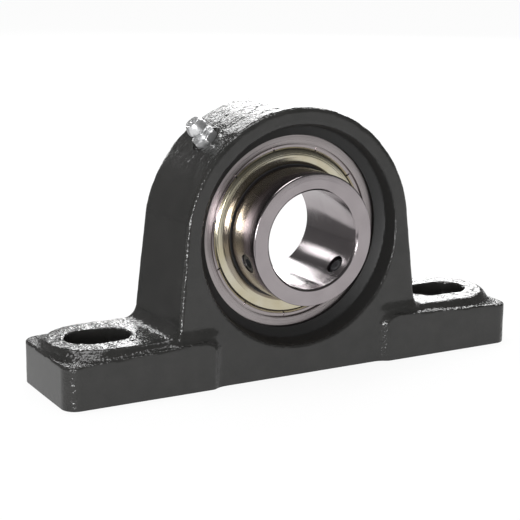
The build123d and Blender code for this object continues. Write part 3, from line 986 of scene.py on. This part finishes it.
cup_point = [(screw_low + 0.6, 0), (screw_low + 0.55, 0.3), (screw_low, 1.5), (screw_low, 1.75)]
side_steps = np.linspace(side_low, side_high, 61)
screw_profile = np.concatenate([
    cup_point,
    np.column_stack([side_steps, np.full(len(side_steps), screw_radius)]),
    [(screw_high, screw_radius - 0.35), (screw_high, 0)],
])
socket_profile = [(socket_floor - 0.35, 0), (socket_floor, 1.5), (socket_floor, socket_radius)]
socket_profile += [(screw_high - 0.25, socket_radius), (screw_high + 0.5, 2.1), (screw_high + 0.5, 0)]
socket_rule = hexagon(socket_flats, 0)
for number, way in enumerate(screw_ways, start=1):
    screw = turned_object(f"set_screw_{number}_threaded", screw_profile, screw_origin, way, 96, thread)
    carve(screw, [turned_object("socket", socket_profile, screw_origin, way, 48, socket_rule)])
    dress(screw, f"set_screw_{number}", "black_oxide", f"set_screw_{number}")

# %% [markdown]
# ## Shields and seal lips
#
# Each shield is pressed from thin sheet.  Its rim snaps into the outer ring and has slits so that it can
# spring, and from the crease inside the rim a wide dish swells out and ends close to the inner ring.  The
# middle line of the sheet is drawn once, and the sheet is that line moved half its thickness each way
# along its normal.  A rubber lip is bonded inside.

# %% Shields
lip_land = 20.85
lip_seat = 21.9
lip_gap = 0.04
sheet_thickness = 0.5
slit_count = 11
slit_phase = np.radians(4.6)
rim_level = shield_seat + sheet_thickness / 2


def sheet_profile(line, thickness):
    """Closed profile round a middle line: each point moves half the thickness each way along the normal."""
    way = np.gradient(line, axis=0)
    way /= np.linalg.norm(way, axis=1, keepdims=True)
    normal = np.column_stack([-way[:, 1], way[:, 0]])
    return np.concatenate([line + normal * thickness / 2, (line - normal * thickness / 2)[::-1]])


rim_corners = [(rim_level, shield_seat_radius - 0.40), (rim_level, 25.85), (rim_level - 0.25, 25.50)]
dish_corners = [(rim_level + 0.42, 24.70), (rim_level + 0.62, 23.10), (rim_level + 0.54, 21.50)]
shield_corners = rim_corners + dish_corners + [(rim_level + 0.20, lip_land)]
shield_rounds = [0, 0.28, 0.28, 1.2, 4.0, 0.8, 0]
shield_line = rounded(shield_corners, shield_rounds, steps=9, closed=False)
lip_front, lip_back = shield_seat + 0.4, shield_seat - 0.7
lip_radius = inner_radius + lip_gap
lip_corners = [(shield_seat, lip_seat), (shield_seat, lip_land), (lip_front, lip_land)]
lip_corners += [(lip_front, lip_radius), (lip_back, lip_radius), (lip_back, lip_seat)]
lip_profile = rounded(lip_corners, 0.06)
slit_half_width = 0.25
slit_low = (25.4, -slit_half_width, -sheet_thickness)
slit_high = (shield_seat_radius, slit_half_width, sheet_thickness)
slit_turns = slit_phase + np.arange(slit_count) * 2 * np.pi / slit_count
for side_name, side_front in (("front", shaft_front), ("back", -shaft_front)):
    shield = turned_object(
        f"{side_name}_shield_pressed", sheet_profile(shield_line, sheet_thickness), along=side_front
    )
    rim_centre = shaft_origin + side_front * rim_level
    slits = [
        block(slit_low, slit_high, [(cos, 0, sin), (-sin, 0, cos), side_front], rim_centre)
        for cos, sin in zip(np.cos(slit_turns), np.sin(slit_turns))
    ]
    carve(shield, [mesh_object("slits", *join_shells(*slits))])
    dress(shield, "insert", "yellow_zinc", f"{side_name}_shield")
    lip = turned_object(f"{side_name}_lip_moulded", lip_profile, along=side_front)
    dress(lip, "insert", "black_rubber", f"{side_name}_seal_lip")

# %% [markdown]
# ## Grease nipple
#
# The nipple is one turned piece with a hexagon milled on its foot.  Its profile runs up the outside and
# down the passage inside, where a spring holds a small ball against the mouth.  The hexagon is the same
# rule as the socket's: the turned radius, but never more than the flats allow, so the chamfered corners
# come out with their curved edges.  Distances are measured out from the spot face.

# %% Nipple
nipple_flats = 7.0
first_flat = np.radians(15.0)
head_top = 7.6
passage_radius = 1.1
head_corners = [(2.4, 2.3), (3.6, 2.3), (4.45, 3.15), (5.1, 3.12), (6.6, 2.78)]
head_corners += [(head_top, 2.25), (head_top - 0.12, 1.8), (head_top - 0.12, 0.75)]
head_rounds = [0, 0.3, 0.35, 1.5, 1.2, 0.15, 0.2, 0]
thread_part = [(tapped_end, 2.6), (-3.8, 2.95), (0.0, 2.95)]
hexagon_part = [(0.0, 3.55), (0.15, 3.85), (0.4, 4.1), (1.9, 4.1), (2.2, 3.8), (2.4, 3.4)]
mouth_part = [(head_top - 0.22, 0.6), (7.2, 0.6), (6.7, passage_radius)]
drilled_part = [(0.6, passage_radius), (0.6, 0.7), (tapped_end, 0.7)]
nipple_profile = np.concatenate([
    thread_part,
    hexagon_part,
    rounded(head_corners, head_rounds, steps=7, closed=False),
    mouth_part,
    drilled_part,
])
nipple = turned_object(
    "grease_nipple_milled", nipple_profile, spot_origin, nipple_out, 96, hexagon(nipple_flats, first_flat)
)
dress(nipple, "housing", "bright_zinc", "grease_nipple")

# %% [markdown]
# ## Spring
#
# The spring stands on a ledge in the nipple and holds the check ball up.  When grease presses the ball
# down, the spring shortens towards the ledge.  Its wire is a thin circle carried along a helix.  Each ring
# of points lies in the plane of the helix's radius and the cross product of tangent and radius, and each
# end closes at a pole.

# %% Coil spring
spring_turns = 4
wire_radius = 0.14
coil_radius = 0.86
ball_travel = 0.6


def coil(origin, along, low, high, steps=32, sides=10):
    """Wire round a helix, whose centre line is u along + r (cos t a + sin t b)."""
    first = np.cross(along, shaft_front)
    second = np.cross(along, first)
    share = np.linspace(0, 1, spring_turns * steps + 1)[:, None]
    turn = 2 * np.pi * spring_turns * share
    spoke = np.cos(turn) * first + np.sin(turn) * second
    line = origin + (low + (high - low) * share) * along + coil_radius * spoke
    tangent = np.gradient(line, axis=0)
    tangent /= np.linalg.norm(tangent, axis=1, keepdims=True)
    side = np.cross(tangent, spoke)
    around = np.linspace(0, 2 * np.pi, sides, endpoint=False)[:, None]
    rings = line[:, None] + wire_radius * (np.cos(around) * spoke[:, None] + np.sin(around) * side[:, None])
    points = np.concatenate([rings.reshape(-1, 3), line[[0, -1]]])
    ring, after = np.arange(sides), np.roll(np.arange(sides), -1)
    last_ring, poles = (len(line) - 1) * sides, len(line) * sides
    low_cap, high_cap = (
        np.stack([start + ring, start + after, *np.full((2, sides), pole)], axis=1)
        for start, pole in ((0, poles), (last_ring, poles + 1))
    )
    tube = grid_faces(len(line), sides)
    return points, np.concatenate([tube[:, ::-1], low_cap[:, ::-1], high_cap])


packed = np.array([corner.co for corner in frame["nodes"]["nipple_spring"].data.vertices]) / mm
heights = (packed - spot_origin) @ nipple_out
ledge, top = heights.min(), heights.max()
spring_wire = coil(spot_origin, nipple_out, ledge + wire_radius, top - wire_radius)
spring = mesh_object("nipple_spring_coiled", *spring_wire)
dress(spring, "housing", "spring_steel", "nipple_spring")
tuple((spot_origin + ledge * nipple_out) * mm)
1 - ball_travel / (top - ledge)
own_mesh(spring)
print(f"spring from {ledge:.2f} to {top:.2f} mm above the spot face")

# %% [markdown]
# ## Finishes
#
# Each finish is a function from the place in space to the sockets of the shader.  Colour, roughness and
# bump vary over the surface, at the real scale of the grain, and everything else is one value.  All
# patterns read object coordinates, so neighbouring pieces never share a seam.

# %% Building a finish
shaft_height = centre_height * mm


def noise(place, size, detail=2.0, **settings):
    """Soft random pattern, 0 to 1, with lumps of about a given size in millimetres."""
    key = "W" if settings.get("noise_dimensions") == "1D" else "Vector"
    inputs = {"Scale": 1 / (size * mm), "Detail": detail, key: place}
    return place.node("ShaderNodeTexNoise", inputs, **settings)


def bump(height, depth, strength):
    """Normal from a height of 0 to 1 that stands for a depth in millimetres."""
    return height.node("ShaderNodeBump", {"Height": height, "Distance": depth * mm, "Strength": strength})


def between(wire, low, high):
    """Number that goes from low, where the wire is 0, to high, where it is 1."""
    return wire * (high - low) + low


def from_shaft(place):
    """Wires of x, y, the height above the shaft and the distance from its axis."""
    x, y, z = place.parts("XYZ")
    up = z - shaft_height
    return x, y, up, (x * x + up * up) ** 0.5


def make_finish(name, rule):
    """Material whose shader sockets come from a rule of the place in object coordinates."""
    material = bpy.data.materials.new(name)
    material.use_nodes = True
    tree = material.node_tree
    shader = tree.nodes["Principled BSDF"]
    place = Wire(tree, tree.nodes.new("ShaderNodeTexCoord").outputs["Object"])
    for socket, value in rule(place).items():
        if isinstance(value, Wire):
            tree.links.new(value.socket, shader.inputs[socket])
        else:
            shader.inputs[socket].default_value = value
    return material


# %% [markdown]
# The housing has a coat of dark grey gloss paint, which runs thin over the grains of sand.  The finish
# follows the same rule as the lumps of the casting: coarse grain on upward faces and on the edges of the
# arch, almost none on walls.  The recess is duller, and its colour is darkened there as painted shade.

# %% Paint over the sand-cast skin
recess_rim = (33.4 * mm, 34.0 * mm)
ledge_heights = (14.2 * mm, 15.0 * mm)
off_flank_gap = ((flank_half * mm) ** 2, (2.0 * mm) ** 2)
wall_grain = 0.1
# darker colour for inside the recess: painted shade, standing in for the shade that falls there
recess_shade_colour = (0.012, 0.012, 0.012)
paint_colours = ((0.019, 0.019, 0.018), (0.025, 0.0245, 0.0235))


def cast_iron_paint(place):
    """Dark grey gloss paint over a sand-cast skin, with grain of up to 0.4 mm where the sand was coarse."""
    facing_y, facing_z = place.node("ShaderNodeNewGeometry", output="Normal").parts("YZ")
    (z,) = place.parts("Z")
    outside = from_shaft(place)[-1].clip(*recess_rim)
    raised = between(z.clip(*ledge_heights), 0.9, 0.4)
    on_edge = (facing_y * facing_y * (1 - facing_y * facing_y)).clip(*edge_facing) * 0.6
    off_flank = ((z - flank_height * mm) ** 2).clip(*off_flank_gap)
    coarse = (facing_z.clip(*top_facing) * raised + on_edge * off_flank) * outside
    grain = noise(place, 1.0, detail=1.0) * between(coarse, wall_grain, 1)
    patches = noise(place, 6.0, detail=3.0)
    return {
        # inside the recess the paint colour gives way to the darker colour, which is painted shade
        "Base Color": outside.blend(recess_shade_colour, patches.clip(0.3, 0.7).blend(*paint_colours)),
        "Roughness": between(patches, 0.12, 0.24) + (1 - outside) * 0.35,
        "Normal": bump(grain, 0.4, 1.0),
    }


# %% [markdown]
# Tools leave fine marks round the shaft on the rings and shields.  Marks that only roughen a surface look
# flat, so they also tilt the normal a little, and a reflection spreads across them as it does on ground
# steel.  The shields are plated with zinc under a yellow film, whose tint drifts with its thickness and
# whose rim is rubbed bare.

# %% Ground steel and yellow plate
bare_rim = (25.7 * mm, 25.8 * mm)
bare_colour = (0.40, 0.36, 0.36)
film_colours = ((0.60, 0.54, 0.38), (0.68, 0.64, 0.52))


def tool_marks(place, size, tilt):
    """Marks that a tool leaves round the shaft: their pattern, and the normal that they tilt.

    The pattern depends on r + y alone, so it changes across the marks and not along them.  The normal leans
    along the slope of r + y.
    """
    x, y, up, radius = from_shaft(place)
    marks = noise(radius + y, size, detail=3.0, noise_dimensions="1D").clip(0.3, 0.7)
    lean = (marks * 2 - 1) * tilt
    slope = place.node("ShaderNodeCombineXYZ", {"X": lean * x / radius, "Y": lean, "Z": lean * up / radius})
    normal = place.node("ShaderNodeNewGeometry", output="Normal")
    tilted = place.node("ShaderNodeVectorMath", {0: normal, 1: slope}, operation="ADD")
    return marks, place.node("ShaderNodeVectorMath", {0: tilted}, operation="NORMALIZE")


def ground_steel(tint, cloud, marks, tilt, roughness):
    """Rule for ground steel: a tint in clouds and tool marks, both of a size in millimetres."""
    def rule(place):
        pattern, normal = tool_marks(place, marks, tilt)
        return {
            "Base Color": noise(place, cloud).blend(*tint),
            "Metallic": 1.0,
            "Roughness": between(pattern, *roughness),
            "Normal": normal,
        }
    return rule


def yellow_zinc(place):
    """Zinc plate with a yellow film, and bare metal outside the crease of the rim."""
    marks, normal = tool_marks(place, 0.3, 0.05)
    film = noise(place, 7.0).clip(0.3, 0.7).blend(*film_colours)
    radius = from_shaft(place)[-1]
    return {
        "Base Color": radius.clip(*bare_rim).blend(film, bare_colour),
        "Metallic": 1.0,
        "Roughness": between(marks, 0.16, 0.22),
        "Normal": normal,
    }


# %% [markdown]
# The small parts are tumbled, dipped or moulded, so they have no marks with a direction.  One rule serves
# them all: a fine haze that drifts between two colours, roughens the gloss and pits the surface.

# %% Plate, oxide, rubber and bare steel
def hazy(tint, metallic, size, roughness, pits):
    """Rule for a skin whose tint, roughness and pits follow one fine haze of a size in millimetres.

    The pits are a depth in millimetres and the strength of their bump.
    """
    def rule(place):
        haze = noise(place, size, detail=3.0)
        return {
            "Base Color": haze.blend(*tint),
            "Metallic": metallic,
            "Roughness": between(haze, *roughness),
            "Normal": bump(haze, *pits),
        }
    return rule


def plain_steel(low, high, smooth):
    """Rule for a bare steel between two greys, the light one a little blue."""
    greys = ((low, low, low), (high, high, high * 1.02))
    return hazy(greys, metallic=1.0, size=0.6, roughness=(smooth, smooth + 0.08), pits=(0.004, 0.4))


ring_tint = ((0.38, 0.345, 0.345), (0.46, 0.42, 0.42))
polished_tint = ((0.36, 0.325, 0.335), (0.46, 0.42, 0.43))
zinc_tint = ((0.76, 0.77, 0.78), (0.88, 0.88, 0.88))
oxide_tint = ((0.035, 0.035, 0.038), (0.065, 0.065, 0.07))
rubber_tint = ((0.012, 0.012, 0.013), (0.022, 0.022, 0.023))
finishes = {
    "cast_iron_paint": cast_iron_paint,
    "ring_steel": ground_steel(ring_tint, cloud=5.0, marks=0.12, tilt=0.16, roughness=(0.26, 0.36)),
    "polished_steel": ground_steel(polished_tint, cloud=6.0, marks=0.1, tilt=0.07, roughness=(0.12, 0.17)),
    "yellow_zinc": yellow_zinc,
    "bright_zinc": hazy(zinc_tint, metallic=0.9, size=0.4, roughness=(0.26, 0.4), pits=(0.02, 0.5)),
    "black_oxide": hazy(oxide_tint, metallic=0.6, size=0.5, roughness=(0.3, 0.45), pits=(0.01, 0.5)),
    "black_rubber": hazy(rubber_tint, metallic=0.0, size=0.3, roughness=(0.55, 0.7), pits=(0.02, 0.6)),
    "ball_steel": plain_steel(0.72, 0.80, 0.06),
    "cage_steel": plain_steel(0.48, 0.56, 0.28),
    "spring_steel": plain_steel(0.45, 0.52, 0.25),
}
materials = {slot: make_finish(slot, rule) for slot, rule in finishes.items()}

# %% [markdown]
# Last, every piece gets the finish of its slot, the imported pieces that stay visible among them.

# %% Put the finishes on
for part in frame["record"]["subparts"]:
    for holder in frame["nodes"][part["node"]].material_slots:
        holder.material = materials[part["material_slot"]]
for piece, slot in dressed.items():
    piece.data.materials.clear()
    piece.data.materials.append(materials[slot])
print("finishes:", sorted(materials))
